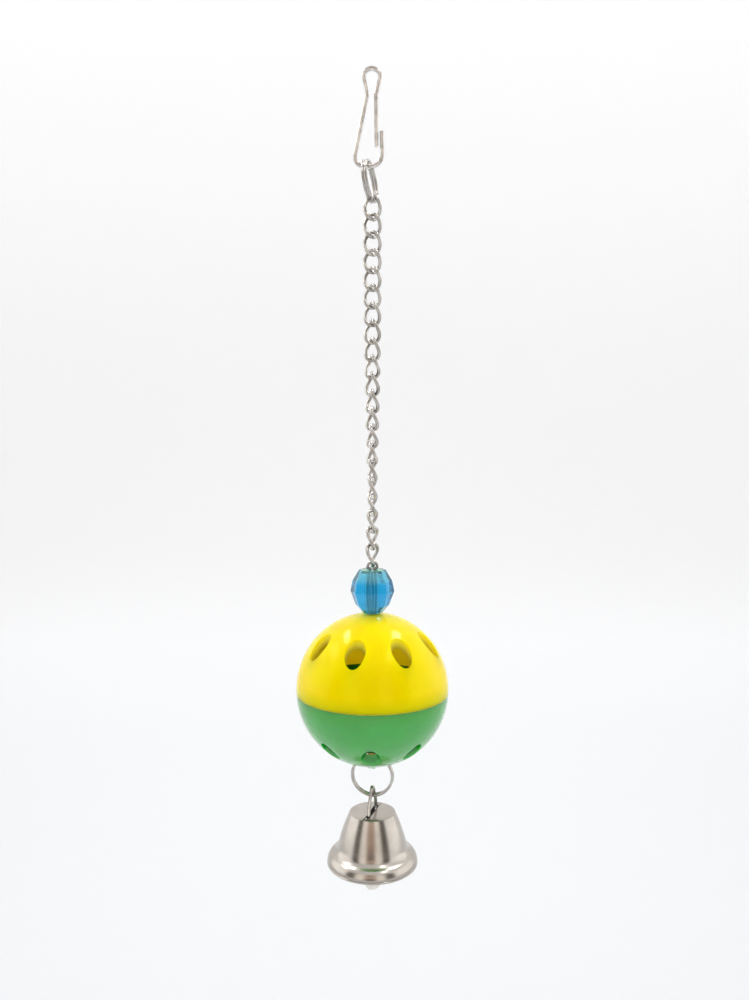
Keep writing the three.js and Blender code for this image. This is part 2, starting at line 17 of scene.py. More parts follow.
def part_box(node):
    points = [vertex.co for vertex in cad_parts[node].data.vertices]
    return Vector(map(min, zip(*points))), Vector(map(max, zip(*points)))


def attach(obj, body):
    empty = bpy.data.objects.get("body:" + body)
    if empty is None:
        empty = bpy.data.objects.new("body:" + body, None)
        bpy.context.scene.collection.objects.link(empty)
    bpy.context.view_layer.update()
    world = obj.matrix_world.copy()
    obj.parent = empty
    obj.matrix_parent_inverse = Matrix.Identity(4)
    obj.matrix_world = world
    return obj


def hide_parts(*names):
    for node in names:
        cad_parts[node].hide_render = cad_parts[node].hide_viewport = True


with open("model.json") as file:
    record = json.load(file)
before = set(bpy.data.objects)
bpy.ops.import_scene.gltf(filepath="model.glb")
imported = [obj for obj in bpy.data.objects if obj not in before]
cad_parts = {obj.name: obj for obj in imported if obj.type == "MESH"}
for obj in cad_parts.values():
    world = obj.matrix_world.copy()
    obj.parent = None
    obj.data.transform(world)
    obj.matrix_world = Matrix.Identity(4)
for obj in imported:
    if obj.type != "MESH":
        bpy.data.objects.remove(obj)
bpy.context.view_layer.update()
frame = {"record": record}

# %% [markdown]
# ## Sizes
# Blender works in metres and the toy is drawn in millimetres, so lengths are written in
# millimetres and multiplied by MM. The heights of the hanging pieces come from the CAD boxes,
# so nothing has to be measured twice.

# %% Sizes that several pieces share
MM = 0.001
CLEARANCE = 0.3
RING_WIRE = 0.95
LINK_WIRE = 1.2
LINK_PITCH = 5.53
LINK_COUNT = 21
BEAD_LENGTH = 14.15
BALL_RADIUS = 25
BALL_WALL = 2.35
BALL_INSIDE = BALL_RADIUS - BALL_WALL
LOWER_RING_YAW = -10.5
HANGER_YAW = 71.9

def top_of(node):
    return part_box(node)[1][2] / MM

def foot_of(node):
    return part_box(node)[0][2] / MM

eye_top = top_of("wire_pin") - RING_WIRE / 2
bead_top = top_of("faceted_bead")
ball_centre = bead_top - BEAD_LENGTH - CLEARANCE - BALL_RADIUS
lower_ring_centre = (top_of("lower_split_ring") + foot_of("lower_split_ring")) / 2
bell_top = top_of("bell_shell")
print("ball centre at", round(ball_centre, 2), "mm, bell top at", round(bell_top, 2), "mm")

# %% [markdown]
# ## Small helpers for node trees
# Geometry trees and materials are both trees of nodes. One function adds any node, sets its
# settings and fills its inputs, and a value that is itself a socket becomes a link.

# %% Add a node
def add_node(tree, kind, settings=None, inputs=None):
    node = tree.nodes.new(kind)
    for name, value in (settings or {}).items():
        setattr(node, name, value)
    for name, value in (inputs or {}).items():
        socket = node.inputs[name]
        if isinstance(value, bpy.types.NodeSocket):
            tree.links.new(value, socket)
        else:
            socket.default_value = value
    return node

# %% [markdown]
# Three kinds of node come back so often that each has a short name of its own. A Mix node has
# sockets for every kind of value, so the ones for colours are picked out by number.

# %% Calculate, remap and mix
MIX_FIRST, MIX_SECOND, MIX_RESULT = 6, 7, 2

def calculated(tree, operation, first, second=None):
    inputs = {0: first} if second is None else {0: first, 1: second}
    return add_node(tree, "ShaderNodeMath", {"operation": operation}, inputs).outputs[0]

def remapped(tree, value, from_low, from_high, to_low=0.0, to_high=1.0):
    return add_node(tree, "ShaderNodeMapRange", inputs={
        "Value": value, "From Min": from_low, "From Max": from_high,
        "To Min": to_low, "To Max": to_high}).outputs["Result"]

def mixed(tree, share, first, second):
    return add_node(tree, "ShaderNodeMix", {"data_type": "RGBA"}, {
        "Factor": share, MIX_FIRST: first, MIX_SECOND: second}).outputs[MIX_RESULT]

# %% Turn a screen colour into the linear colour that shaders use
def colour(hex_code):
    def linear(channel):
        share = channel / 255
        return share / 12.92 if share <= 0.04045 else ((share + 0.055) / 1.055) ** 2.4
    channels = [int(hex_code[i:i + 2], 16) for i in (0, 2, 4)]
    return (*[linear(channel) for channel in channels], 1)

# %% [markdown]
# ## Making plain meshes and keeping the result of a node tree
# A finished piece is one plain mesh at the origin, unturned and unscaled. A modifier is tried on
# the object, its evaluated result is copied out, and the modifier is gone before the piece is
# tied to its CAD body. Every face must look outwards, or a cut takes away the wrong walls.

# %% Make an object, and bake a modifier's result into a plain mesh
def new_object(name, data):
    made = bpy.data.objects.new(name, data)
    bpy.context.scene.collection.objects.link(made)
    return made

def mesh_object(name, points, faces, smooth=True):
    mesh = bpy.data.meshes.new(name)
    mesh.from_pydata([Vector(point) * MM for point in points], [], faces)
    mesh.validate()
    sides = bmesh.new()
    sides.from_mesh(mesh)
    bmesh.ops.recalc_face_normals(sides, faces=sides.faces)
    sides.to_mesh(mesh)
    sides.free()
    mesh.polygons.foreach_set("use_smooth", [smooth] * len(mesh.polygons))
    return new_object(name, mesh)

def baked(source, name):
    bpy.context.view_layer.update()
    evaluated = source.evaluated_get(bpy.context.evaluated_depsgraph_get())
    mesh = bpy.data.meshes.new_from_object(evaluated)
    mesh.name = name
    return new_object(name, mesh)

def discard(*objects):
    for unused in objects:
        bpy.data.objects.remove(unused)

def paint(piece, *materials):
    piece.data.materials.clear()
    for material in materials:
        piece.data.materials.append(material)

def add_boolean(target, tool, operation="DIFFERENCE"):
    step = target.modifiers.new(tool.name, "BOOLEAN")
    step.object = tool
    step.operation = operation

# %% [markdown]
# ## Tying a piece to its CAD body
# Each piece hides the CAD node that it stands for and moves with the same body. One table of
# body names, read from the frame, saves writing the body's name for every piece.

# %% Stand a piece in for a CAD node
body_of_node = {}
for body_name, node_names in frame["record"]["behaviour"]["bodies"].items():
    for node_name in node_names:
        body_of_node[node_name] = body_name

def stands_for(piece, node):
    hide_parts(node)
    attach(piece, body_of_node[node])
    print(piece.name, "has", len(piece.data.polygons), "faces")

# %% [markdown]
# ## Finishes
# No real surface has one even colour, so every finish mottles two close tones with a noise that
# is fixed to the object.

# %% A material with its shader and its object coordinates ready
def new_material(name, **shader_inputs):
    material = bpy.data.materials.new(name)
    material.use_nodes = True
    tree = material.node_tree
    tree.nodes.clear()
    shader = add_node(tree, "ShaderNodeBsdfPrincipled", inputs={
        key.replace("_", " "): value for key, value in shader_inputs.items()})
    add_node(tree, "ShaderNodeOutputMaterial", inputs={"Surface": shader.outputs["BSDF"]})
    place = add_node(tree, "ShaderNodeTexCoord").outputs["Object"]
    return material, tree, shader, place

def mottled(tree, place, first_code, second_code, scale, detail=2.0, first=0.3, second=0.7, distortion=0.0):
    noise = add_node(tree, "ShaderNodeTexNoise", inputs={
        "Vector": place, "Scale": scale, "Detail": detail, "Distortion": distortion}).outputs["Fac"]
    tones = add_node(tree, "ShaderNodeValToRGB", inputs={"Fac": noise})
    for stop, position, code in zip(tones.color_ramp.elements, (first, second), (first_code, second_code)):
        stop.position = position
        stop.color = colour(code)
    return noise, tones.outputs["Color"]

def height_in(tree, place):
    return add_node(tree, "ShaderNodeSeparateXYZ", inputs={"Vector": place}).outputs["Z"]

def add_bumps(tree, shader, height, strength, distance):
    bumps = add_node(tree, "ShaderNodeBump", inputs={
        "Height": height, "Strength": strength, "Distance": distance})
    tree.links.new(bumps.outputs["Normal"], shader.inputs["Normal"])

# %% [markdown]
# Every wire on the toy is steel with bright nickel plate. Nickel is a slightly warm, slightly
# yellow metal. The hook gets a lighter copy of the same plate: painted light, standing in for the
# brighter reflections along its flat wire.

# %% Bright nickel plate on bent wire
def nickel_plate(name, dull_code, clean_code):
    material, tree, shader, place = new_material(name, Metallic=1.0, Roughness=0.14)
    _, tone = mottled(tree, place, dull_code, clean_code, 300.0)
    tree.links.new(tone, shader.inputs["Base Color"])
    return material

nickel_wire = nickel_plate("bright_nickel_plated_wire", "A09B95", "D3CFC9")
# The hook's copy of the plate is painted lighter, as painted light for its brighter reflections.
lighter_painted_hook_plate = nickel_plate("nickel_plate_on_hook_painted_lighter", "B4AFA9", "E2DED8")

# %% [markdown]
# The bell is drawn from sheet, polished and plated. The polishing runs round its axis, and
# leaves a soft satin sheen with very fine rings, so a stretched noise drives its roughness.

# %% Satin nickel on the drawn bell
def satin_nickel():
    material, tree, shader, place = new_material("satin_nickel_on_drawn_bell", Metallic=1.0)
    stretched = add_node(tree, "ShaderNodeMapping", inputs={
        "Vector": place, "Scale": (0.15, 0.15, 1.0)})
    rings = add_node(tree, "ShaderNodeTexNoise", inputs={
        "Vector": stretched.outputs["Vector"], "Scale": 1500.0, "Detail": 3.0}).outputs["Fac"]
    _, tone = mottled(tree, place, "B1AAA1", "C1BAB1", 160.0, 3.0)
    tree.links.new(tone, shader.inputs["Base Color"])
    tree.links.new(remapped(tree, rings, 0.0, 1.0, 0.21, 0.27), shader.inputs["Roughness"])
    add_bumps(tree, shader, rings, 0.02, 0.00002)
    return material

bell_nickel = satin_nickel()

# %% Inside of the bell: never polished, so rougher, and painted dark as painted shade
def make_bell_lining_with_painted_shade():
    material, tree, shader, place = new_material(
        "unpolished_inside_of_bell_with_painted_shade", Metallic=1.0, Roughness=0.6)
    # The dark base colour is painted shade, for the inside that the light hardly reaches.
    _, tone = mottled(tree, place, "2A2520", "45403A", 220.0, 3.0, 0.0, 1.0)
    tree.links.new(tone, shader.inputs["Base Color"])
    return material

bell_lining_painted_shade = make_bell_lining_with_painted_shade()

# %% [markdown]
# The ball is injection-moulded plastic with a high gloss. Moulded polystyrene or ABS has an
# index of refraction near 1.5, lets light into and through its thin wall, and shows faint swirls
# where the plastic flowed round the holes. Where the yellow half overlaps the green lip inside it,
# the green shows through and makes a duller band. A paler band along the yellow half's thin lower
# edge is a painted highlight. The green deepens towards the seam. Inside the outer skin, on the
# inner surface and the walls of the holes, the colour is painted light and shade: the yellow is
# painted paler and the green painted darker.

# %% Glossy moulded plastic
def moulded_plastic(name, deep_code, bright_code, glow, tint_code, gloss_level, coat, painted_inside_shading_code, bands):
    material, tree, shader, place = new_material(
        name, IOR=1.53, Subsurface_Weight=0.85, Subsurface_Scale=0.008, Subsurface_Radius=glow,
        Specular_IOR_Level=gloss_level, Specular_Tint=colour(tint_code), Coat_Weight=coat)
    swirls, skin_colour = mottled(tree, place, deep_code, bright_code, 90.0, 3.0, 0.25, 0.6, 0.6)
    for from_height, to_height, band_code in bands:
        in_band = remapped(tree, height_in(tree, place), (ball_centre + from_height) * MM,
                           (ball_centre + to_height) * MM)
        skin_colour = mixed(tree, in_band, skin_colour, colour(band_code))
    from_centre = add_node(tree, "ShaderNodeVectorMath", {"operation": "DISTANCE"}, {
        0: place, 1: (0, 0, ball_centre * MM)}).outputs["Value"]
    # Inside the outer skin the colour is painted light and shade: paler for the yellow, darker for the
    # green.
    painted_inside_shading_mask = remapped(tree, from_centre, (BALL_RADIUS - 0.2) * MM, (BALL_RADIUS - 1) * MM)
    skin_colour = mixed(tree, painted_inside_shading_mask, skin_colour, colour(painted_inside_shading_code))
    tree.links.new(skin_colour, shader.inputs["Base Color"])
    tree.links.new(remapped(tree, swirls, 0.0, 1.0, 0.1, 0.2), shader.inputs["Roughness"])
    skin = add_node(tree, "ShaderNodeTexNoise", inputs={
        "Vector": place, "Scale": 300.0, "Detail": 1.0}).outputs["Fac"]
    add_bumps(tree, shader, skin, 0.04, 0.0001)
    return material

yellow_plastic = moulded_plastic(
    "glossy_yellow_polystyrene", "FCCC00", "FFD400", glow=(1.0, 0.8, 0.1), tint_code="FFF27C",
    gloss_level=0.2, coat=0, painted_inside_shading_code="FFD83A",
    # The second band, along the thin lower edge, is a painted highlight.
    bands=[(4, -0.5, "DACB00"), (-0.55, -0.8, "F6E848")])
green_plastic = moulded_plastic(
    "glossy_green_polystyrene", "1F972C", "24A132", glow=(0.2, 1.0, 0.3), tint_code="E8FFE8",
    gloss_level=1.0, coat=0.3, painted_inside_shading_code="12841E",
    bands=[(-6, -1.2, "279A12")])

# %% [markdown]
# The bead is clear acrylic with a blue dye. Light passes into it, so it gets transmission, and
# acrylic's index of refraction is 1.49. The dye is counted once on the way in and once on the way
# out, and the wall of the bore is clear but frosted. The crown is painted paler: a painted
# reflection of the light above on its upper facets.

# %% Dyed clear acrylic, and pale steel for the clapper
def dyed_acrylic():
    material, tree, shader, place = new_material(
        "blue_dyed_acrylic", Roughness=0.03, IOR=1.49, Transmission_Weight=0.92,
        Specular_IOR_Level=0.15)
    _, tone = mottled(tree, place, "1CA4E2", "3CBAEC", 120.0)
    # The paler crown is a painted reflection of the light above.
    painted_crown_reflection = remapped(tree, height_in(tree, place), (bead_top - 4.5) * MM, (bead_top - 2.5) * MM)
    tree.links.new(mixed(tree, painted_crown_reflection, tone, colour("9ADADF")), shader.inputs["Base Color"])
    return material

def pale_steel():
    material, tree, shader, place = new_material("pale_tumbled_steel", Metallic=0.85)
    pits, tone = mottled(tree, place, "DAD5CB", "F0EDE6", 900.0, 3.0, 0.0, 1.0)
    tree.links.new(tone, shader.inputs["Base Color"])
    tree.links.new(remapped(tree, pits, 0.0, 1.0, 0.3, 0.45), shader.inputs["Roughness"])
    return material

blue_acrylic = dyed_acrylic()
bore_acrylic = new_material(
    "frosted_wall_of_bead_bore", Base_Color=colour("ECFAFF"), Roughness=0.24, IOR=1.12,
    Transmission_Weight=0.8)[0]
clapper_steel = pale_steel()

# %% [markdown]
# ## Bent wire
# A bent wire is a path of straight runs and round bends. Each corner of the path has a place and
# a bend radius, as a wire former would read it from a drawing. The path is drawn in the hook's
# plane, X across and Z up.

# %% The points of a bent wire
DEGREES_PER_STEP = 6
SHORTEST_STEP = 0.01

def bent_wire(corners, closed=False):
    points = []
    count = len(corners)
    for i, (x, z, radius) in enumerate(corners):
        here = Vector((x, z))
        if radius == 0 or (not closed and i in (0, count - 1)):
            points.append((x, 0, z))
            continue
        back = (Vector(corners[i - 1][:2]) - here).normalized()
        forth = (Vector(corners[(i + 1) % count][:2]) - here).normalized()
        opening = back.angle(forth)
        reach = radius / math.tan(opening / 2)
        centre = here + (back + forth).normalized() * radius / math.sin(opening / 2)
        start = here + back * reach - centre
        end = here + forth * reach - centre
        side = 1 if start.cross(end) > 0 else -1
        turn = math.pi - opening
        steps = max(2, math.ceil(math.degrees(turn) / DEGREES_PER_STEP))
        for j in range(steps + 1):
            spoke = Matrix.Rotation(side * turn * j / steps, 2) @ start
            points.append((centre.x + spoke.x, 0, centre.y + spoke.y))
    kept = [points[0]]
    for point in points[1:]:
        if (Vector(point) - Vector(kept[-1])).length > SHORTEST_STEP:
            kept.append(point)
    return kept

# %% [markdown]
# The wire itself is swept by a Geometry Nodes tree: a rectangle with rounded corners follows the
# path. When the corners are as round as they can be, the rectangle is a circle, so the same tree
# makes flat hook wire and round ring wire. The path's own radius thins the wire at its cut ends.

# %% A tree that sweeps wire along a path
def new_geometry_tree(name, sizes):
    tree = bpy.data.node_groups.new(name, "GeometryNodeTree")
    tree.interface.new_socket("Geometry", in_out="INPUT", socket_type="NodeSocketGeometry")
    for size_name, kind in sizes:
        tree.interface.new_socket(size_name, in_out="INPUT", socket_type=kind)
    tree.interface.new_socket("Material", in_out="INPUT", socket_type="NodeSocketMaterial")
    tree.interface.new_socket("Geometry", in_out="OUTPUT", socket_type="NodeSocketGeometry")
    return tree, add_node(tree, "NodeGroupInput").outputs

def finish_tree(tree, given, geometry):
    real = add_node(tree, "GeometryNodeRealizeInstances", inputs={"Geometry": geometry})
    painted = add_node(tree, "GeometryNodeSetMaterial", inputs={
        "Geometry": real.outputs["Geometry"], "Material": given["Material"]})
    add_node(tree, "NodeGroupOutput", inputs={"Geometry": painted.outputs["Geometry"]})

wire_tree, given = new_geometry_tree("sweep_wire", [
    ("Thickness", "NodeSocketFloat"), ("Width", "NodeSocketFloat"), ("Edge", "NodeSocketFloat")])
upright = add_node(wire_tree, "GeometryNodeSetCurveNormal", {"mode": "FREE"}, {
    "Curve": given["Geometry"], "Normal": (0.0, 1.0, 0.0)})
section = add_node(wire_tree, "GeometryNodeCurvePrimitiveQuadrilateral", inputs={
    "Width": given["Width"], "Height": given["Thickness"]})
rounded = add_node(wire_tree, "GeometryNodeFilletCurve", {"mode": "POLY"}, {
    "Curve": section.outputs["Curve"], "Radius": given["Edge"], "Count": 4})
swept = add_node(wire_tree, "GeometryNodeCurveToMesh", inputs={
    "Curve": upright.outputs["Curve"], "Profile Curve": rounded.outputs["Curve"], "Fill Caps": True})
finish_tree(wire_tree, given, swept.outputs["Mesh"])

# %% Run a tree on an object with named sizes
def with_tree(source, tree, values):
    modifier = source.modifiers.new(tree.name, "NODES")
    modifier.node_group = tree
    for item in tree.interface.items_tree:
        if item.in_out == "INPUT" and item.name in values:
            modifier[item.identifier] = values[item.name]

CUT_END_SHARE = 0.72
CUT_END_DEPTH = 0.25

def path_object(name, points, closed=False):
    curve = bpy.data.curves.new(name, "CURVE")
    curve.dimensions = "3D"
    spline = curve.splines.new("POLY")
    spline.points.add(len(points) - 1)
    for spot, point in zip(spline.points, points):
        spot.co = (*(Vector(point) * MM), 1)
        spot.radius = 1
    spline.use_cyclic_u = closed
    if not closed:
        for spot in (spline.points[0], spline.points[-1]):
            spot.radius = CUT_END_SHARE
    return new_object(name, curve)

def with_rounded_ends(points):
    def inset(end, after):
        direction = (Vector(after) - Vector(end)).normalized()
        return tuple(Vector(end) + direction * CUT_END_DEPTH)
    return [points[0], inset(points[0], points[1]), *points[1:-1],
            inset(points[-1], points[-2]), points[-1]]

def shade(piece, angle):
    piece.data.polygons.foreach_set("use_smooth", [True] * len(piece.data.polygons))
    piece.data.set_sharp_from_angle(angle=math.radians(angle))
    return piece

def wire_piece(name, points, closed=False, thickness=RING_WIRE, width=None, edge=None,
               material=nickel_wire, place=None):
    if not closed:
        points = with_rounded_ends(points)
    path = path_object(name + "_path", points, closed)
    round_edge = edge if edge is not None else thickness / 2 * 0.999
    with_tree(path, wire_tree, {
        "Thickness": thickness * MM, "Width": (width or thickness) * MM,
        "Edge": round_edge * MM, "Material": material})
    piece = shade(baked(path, name), 50)
    if place is not None:
        piece.data.transform(place)
    discard(path)
    return piece

def placed(z=0.0, yaw=0.0, lean=0.0, x=0.0):
    return (Matrix.Translation((x * MM, 0, z * MM)) @ Matrix.Rotation(math.radians(-lean), 4, "Y")
            @ Matrix.Rotation(math.radians(yaw), 4, "Z"))

# %% [markdown]
# ## The snap hook
# The hook is one piece of flat-sided wire. It starts at the nose, runs round the foot and up the
# long left side, makes the loop, and comes down to the neck. From the neck the springy gate runs
# on down behind the nose. The gate moves by itself, so it is its own piece. Each corner is
# written as X, Z and bend radius.

# %% Snap hook and gate
hook_corners = [
    (2.95, -18.6, 0),
    (3.3, -29.87, 3.9),
    (-5.95, -28.75, 2.6),
    (-1.6, -7.2, 4),
    (-3.25, 0.65, 2.55),
    (3.25, 0.65, 2.55),
    (1.15, -7.2, 1),
    (1.2, -8.55, 0),
]
hook_wire = {"thickness": 1.3, "width": 1.9, "edge": 0.62, "material": lighter_painted_hook_plate}
hook = wire_piece("hook_frame", bent_wire(hook_corners), **hook_wire)
stands_for(hook, "snap_hook")
gate = wire_piece("hook_spring_gate", [(1.2, 0, -8.89), (1.25, 0, -16), (1.3, 0, -23.2)], **hook_wire)
stands_for(gate, "hook_gate")

# %% [markdown]
# ## The split rings
# A split ring is two flat turns of wire that lie against each other, like a key ring. The wire
# crosses from one turn to the other where the ring is split.

# %% Two split rings
UPPER_RING_DIAMETER = 13.6
UPPER_RING_YAW = 75
UPPER_RING_LEAN = 7.5
UPPER_RING_SEAT_X = -1.55
LOWER_RING_DIAMETER = 14.4
RING_TURN_GAP = 0.1
CROSSING_DEGREES = 12
END_GAP_DEGREES = 8

def split_ring_path(diameter, split_angle, steps=180):
    radius = (diameter - RING_WIRE) / 2
    offset = (RING_WIRE + RING_TURN_GAP) / 2
    first = CROSSING_DEGREES + END_GAP_DEGREES
    points = []
    for i in range(steps + 1):
        turn = first + (720 - 2 * first) * i / steps
        share = min(max((turn - 360 + CROSSING_DEGREES) / (2 * CROSSING_DEGREES), 0), 1)
        side = -offset + 2 * offset * share * share * (3 - 2 * share)
        angle = math.radians(turn + split_angle)
        points.append((radius * math.cos(angle), side, radius * math.sin(angle)))
    return points

upper_box = [Vector(corner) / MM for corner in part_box("upper_split_ring")]
upper_ring_inside = UPPER_RING_DIAMETER / 2 - RING_WIRE
upper_ring_x = UPPER_RING_SEAT_X + upper_ring_inside * math.sin(math.radians(UPPER_RING_LEAN))
upper_ring_z = (upper_box[0].z + upper_box[1].z) / 2
upper_ring = wire_piece("upper_ring_coil", split_ring_path(UPPER_RING_DIAMETER, split_angle=-45),
                        place=placed(upper_ring_z, UPPER_RING_YAW, UPPER_RING_LEAN, upper_ring_x))
stands_for(upper_ring, "upper_split_ring")
lower_ring = wire_piece("lower_ring_coil", split_ring_path(LOWER_RING_DIAMETER, split_angle=60),
                        place=placed(lower_ring_centre, LOWER_RING_YAW))
stands_for(lower_ring, "lower_split_ring")

# %% [markdown]
# ## The curb chain
# Each link is an oval of wire, twisted so that its two ends stand square to each other. That is
# what makes a curb chain lie flat. One link is drawn as a closed path, and a Geometry Nodes tree
# sweeps the wire and sets the copies one pitch apart. It counts the links from 0. The first three
# hang straight, and each one after them is turned a little further, because the whole chain has
# wound itself up by about a third of a turn when it reaches the bead.

# %% The path of one link
LINK_WIDTH = 6.1
LINK_TWIST = 45
LINK_SQUARENESS = 0.75
LAST_STRAIGHT_LINK = 2
TURN_PER_LINK = -6.5

def link_path(steps=64):
    length = LINK_PITCH + LINK_WIRE + CLEARANCE
    points = []
    for i in range(steps):
        turn = 2 * math.pi * i / steps
        cosine = math.cos(turn)
        along = (LINK_WIDTH - LINK_WIRE) / 2 * math.copysign(abs(cosine) ** LINK_SQUARENESS, cosine)
        yaw = -math.radians(LINK_TWIST) * math.sin(turn)
        points.append((along * math.cos(yaw), along * math.sin(yaw), length / 2 * math.sin(turn)))
    return points

# %% The tree that lays the chain
chain_tree, given = new_geometry_tree("curb_chain", [
    ("Wire", "NodeSocketFloat"), ("Pitch", "NodeSocketFloat"), ("First link", "NodeSocketInt"),
    ("Links", "NodeSocketInt"), ("Top", "NodeSocketFloat"), ("Last straight link", "NodeSocketInt"),
    ("Turn per link", "NodeSocketFloat")])
round_wire = add_node(chain_tree, "GeometryNodeCurvePrimitiveCircle", inputs={
    "Resolution": 14, "Radius": calculated(chain_tree, "DIVIDE", given["Wire"], 2.0)})
link_mesh = add_node(chain_tree, "GeometryNodeCurveToMesh", inputs={
    "Curve": given["Geometry"], "Profile Curve": round_wire.outputs["Curve"]})
point_number = add_node(chain_tree, "GeometryNodeInputIndex").outputs["Index"]
number = calculated(chain_tree, "ADD", point_number, given["First link"])
drop = calculated(chain_tree, "MULTIPLY", number, given["Pitch"])
height = calculated(chain_tree, "SUBTRACT", given["Top"], drop)
spot = add_node(chain_tree, "ShaderNodeCombineXYZ", inputs={"Z": height})
spots = add_node(chain_tree, "GeometryNodePoints", inputs={
    "Count": given["Links"], "Position": spot.outputs["Vector"]})
past = calculated(chain_tree, "SUBTRACT", number, given["Last straight link"])
wound = calculated(chain_tree, "MAXIMUM", past, 0.0)
yaw = calculated(chain_tree, "MULTIPLY", wound, given["Turn per link"])
turned_link = add_node(chain_tree, "ShaderNodeCombineXYZ", inputs={"Z": yaw})
links_set = add_node(chain_tree, "GeometryNodeInstanceOnPoints", inputs={
    "Points": spots.outputs["Points"], "Instance": link_mesh.outputs["Mesh"],
    "Rotation": turned_link.outputs["Vector"]})
finish_tree(chain_tree, given, links_set.outputs["Instances"])

# %% One piece for each link
chain_path = path_object("link_path", link_path(), closed=True)
link_centre = (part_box("chain_link_01")[0][2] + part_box("chain_link_01")[1][2]) / 2
for link_number in range(1, LINK_COUNT + 1):
    with_tree(chain_path, chain_tree, {
        "Wire": LINK_WIRE * MM, "Pitch": LINK_PITCH * MM, "First link": link_number - 1, "Links": 1,
        "Top": link_centre, "Last straight link": LAST_STRAIGHT_LINK,
        "Turn per link": math.radians(TURN_PER_LINK), "Material": nickel_wire})
    link = shade(baked(chain_path, f"curb_link_{link_number:02d}"), 80)
    chain_path.modifiers.clear()
    stands_for(link, f"chain_link_{link_number:02d}")
discard(chain_path)

# %% [markdown]
# ## The wire pin
# The pin is one wire bent double. Its eye hangs in the last link, its two legs go down through
# the bead and the top of the ball, and its feet are spread inside the ball to hold it.

# %% Wire pin
EYE_WIDTH = 4.2
LEG_GAP = 0.25
SHOULDER_DROP = 3.1
PIN_YAW = 10
eye_half = (EYE_WIDTH - RING_WIRE) / 2
leg = (RING_WIRE + LEG_GAP) / 2
shoulder = RING_WIRE / 2 - SHOULDER_DROP
pin_foot = shoulder - BEAD_LENGTH - CLEARANCE - BALL_WALL - CLEARANCE - RING_WIRE
half_pin = [
    (-4.2, pin_foot, 0),
    (-leg, pin_foot, 1),
    (-leg, shoulder + 0.35, 0.8),
    (-eye_half, -eye_half - 0.35, 0.6),
    (-eye_half, 0, eye_half),
]
pin_corners = half_pin + [(-x, z, radius) for x, z, radius in reversed(half_pin)]
pin = wire_piece("bent_double_pin", bent_wire(pin_corners), place=placed(eye_top, PIN_YAW))
stands_for(pin, "wire_pin")

# %% [markdown]
# ## Turned shapes
# The bead, the two half shells of the ball and the bell are all outlines turned about the upright
# axis. The outline is written as radius and height in millimetres, and it runs round the solid
# once, so the mesh closes on itself.

# %% Turn an outline about the upright axis
ON_AXIS = 1e-6

def turned(name, outline, segments, centre_z=0.0, yaw=0.0):
    points = []
    rows = []
    for radius, height in outline:
        if radius < ON_AXIS:
            rows.append([len(points)])
            points.append((0, 0, height + centre_z))
            continue
        rows.append(list(range(len(points), len(points) + segments)))
        for i in range(segments):
            angle = 2 * math.pi * i / segments + math.radians(yaw)
            points.append((radius * math.cos(angle), radius * math.sin(angle), height + centre_z))
    faces = []
    for upper, lower in zip(rows, rows[1:] + rows[:1]):
        if len(upper) == 1 and len(lower) == 1:
            continue
        for i in range(segments):
            j = (i + 1) % segments
            if len(upper) == 1:
                faces.append((upper[0], lower[i], lower[j]))
            elif len(lower) == 1:
                faces.append((upper[i], lower[0], upper[j]))
            else:
                faces.append((upper[i], lower[i], lower[j], upper[j]))
    return mesh_object(name, points, faces)

# %% [markdown]
# ## The faceted bead
# Eight facets go round the bead, with two rows above its waist and two below. The edges of a
# moulded acrylic bead are slightly soft, so a narrow bevel rounds them.

# %% Bead
BEAD_FACETS = 8
BEAD_YAW = -4.5
BEAD_EDGE = 0.18
BORE_RADIUS = 1.7
BORE_TOP = 1
BORE_FOOT = -16
bead_outline = [(4.3, 0), (6.45, -3.65), (7.1, -7.1), (5.45, -11.6), (3.2, -BEAD_LENGTH)]
spread = 1 / math.cos(math.pi / 2 / BEAD_FACETS)
bead_body = turned("bead_body", [(radius * spread, height) for radius, height in bead_outline]
                   + [(0, -BEAD_LENGTH), (0, 0)], BEAD_FACETS, bead_top, BEAD_YAW)
bore = turned("bead_bore", [(BORE_RADIUS, BORE_TOP), (BORE_RADIUS, BORE_FOOT), (0, BORE_FOOT),
                            (0, BORE_TOP)], 40, bead_top)
add_boolean(bead_body, bore)
soften = bead_body.modifiers.new("soften", "BEVEL")
soften.width = BEAD_EDGE * MM
soften.segments = 3
soften.limit_method = "ANGLE"
soften.angle_limit = math.radians(12)
bead = baked(bead_body, "acrylic_bead")
paint(bead, blue_acrylic, bore_acrylic)
for side in bead.data.polygons:
    side.material_index = int(math.hypot(side.center.x, side.center.y) < (BORE_RADIUS + 0.05) * MM)
bead.data.polygons.foreach_set("use_smooth", [False] * len(bead.data.polygons))
discard(bead_body, bore)
stands_for(bead, "faceted_bead")

# %% [markdown]
# ## The ball
# Two moulded half shells make the ball. Each has a ring of eight round holes. The mould pulls
# straight along the axis, so the holes run straight up and down through the curved wall. A
# Geometry Nodes tree sets eight drills on a circle and cuts them out of the shell.

